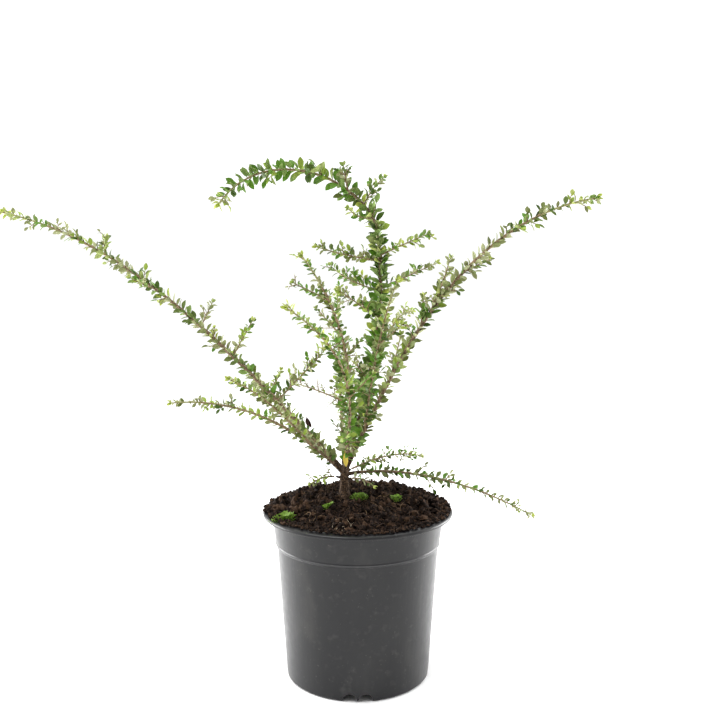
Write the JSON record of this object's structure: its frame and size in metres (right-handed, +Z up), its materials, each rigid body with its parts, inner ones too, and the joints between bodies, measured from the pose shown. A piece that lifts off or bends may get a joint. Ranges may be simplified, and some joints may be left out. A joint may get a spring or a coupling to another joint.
{
  "type": "potted tibetan cotoneaster",
  "caption": "Young tibetan cotoneaster shrub with long arching leafy stems from a short trunk, in a round nursery pot filled with compost.",
  "frame": {"origin": "centre of the flat foot under the pot, level with the surface that the pot stands on", "axes": "+Z up; +X along the plant's longest spread, to the right in the picture; +Y away from the picture's camera"},
  "size_m": [0.5472, 0.3262, 0.4664],
  "materials": {
    "pot": "satin",
    "compost": "matte",
    "bark": "matte",
    "foliage": "satin"
  },
  "bodies": {
    "root": {"arch_lower_leaves": "foliage", "arch_tip_leaves": "foliage", "base_left_leaves": "foliage", "base_right_leaves": "foliage", "centre_left_bough": "bark", "centre_left_lower_leaves": "foliage", "centre_left_tip_leaves": "foliage", "centre_tall_bough": "bark", "centre_tall_lower_leaves": "foliage", "centre_tall_tip_leaves": "foliage", "compost": "compost", "front_bough": "bark", "front_left_leaves": "foliage", "front_lower_leaves": "foliage", "front_right_lower_leaves": "foliage", "front_right_tip_leaves": "foliage", "front_tip_leaves": "foliage", "left_long_bough": "bark", "left_long_lower_leaves": "foliage", "left_long_middle_leaves": "foliage", "left_long_tip_leaves": "foliage", "left_low_bough": "bark", "left_low_leaves": "foliage", "pot": "pot", "rear_bough": "bark", "rear_left_bough": "bark", "rear_left_lower_leaves": "foliage", "rear_left_tip_leaves": "foliage", "rear_lower_leaves": "foliage", "rear_right_leaves": "foliage", "rear_tip_leaves": "foliage", "right_long_bough": "bark", "right_long_lower_leaves": "foliage", "right_long_middle_leaves": "foliage", "right_long_tip_leaves": "foliage", "right_low_bough": "bark", "right_low_lower_leaves": "foliage", "right_low_tip_leaves": "foliage", "right_thin_leaves": "foliage", "trunk": "bark"}
  },
  "joints": []
}
